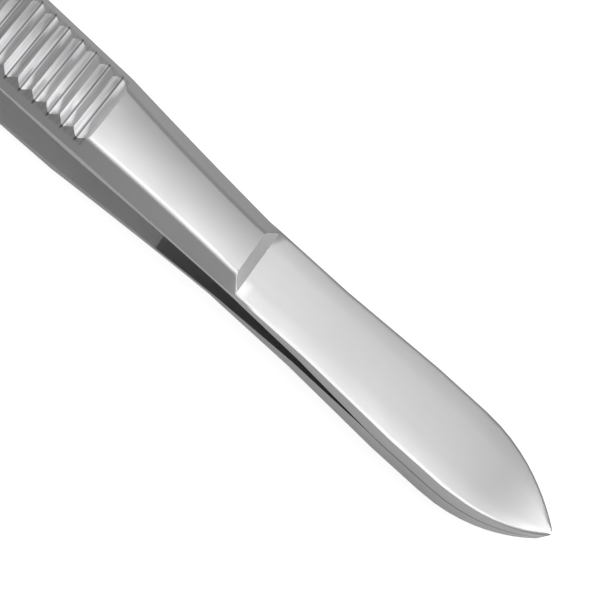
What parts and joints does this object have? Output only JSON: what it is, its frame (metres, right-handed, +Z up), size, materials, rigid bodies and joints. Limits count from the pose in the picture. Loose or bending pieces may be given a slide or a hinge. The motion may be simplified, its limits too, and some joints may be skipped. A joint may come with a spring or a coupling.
{
  "type": "splinter forceps",
  "caption": "Slim sprung-steel forceps with a welded heel, a cross-grooved grip, a stepped neck and pointed leaf-shaped blades that close flat to draw out splinters.",
  "frame": {"origin": "centre of the box of the whole instrument, on the surface that the lower arm lies on", "axes": "+X from the heel to the tips, +Y across the arms, +Z up from the lower arm to the upper arm"},
  "size_m": [0.115, 0.0082, 0.006],
  "materials": {
    "steel": "satin"
  },
  "bodies": {
    "root": {"upper_arm": "steel", "lower_arm": "steel"}
  },
  "joints": []
}
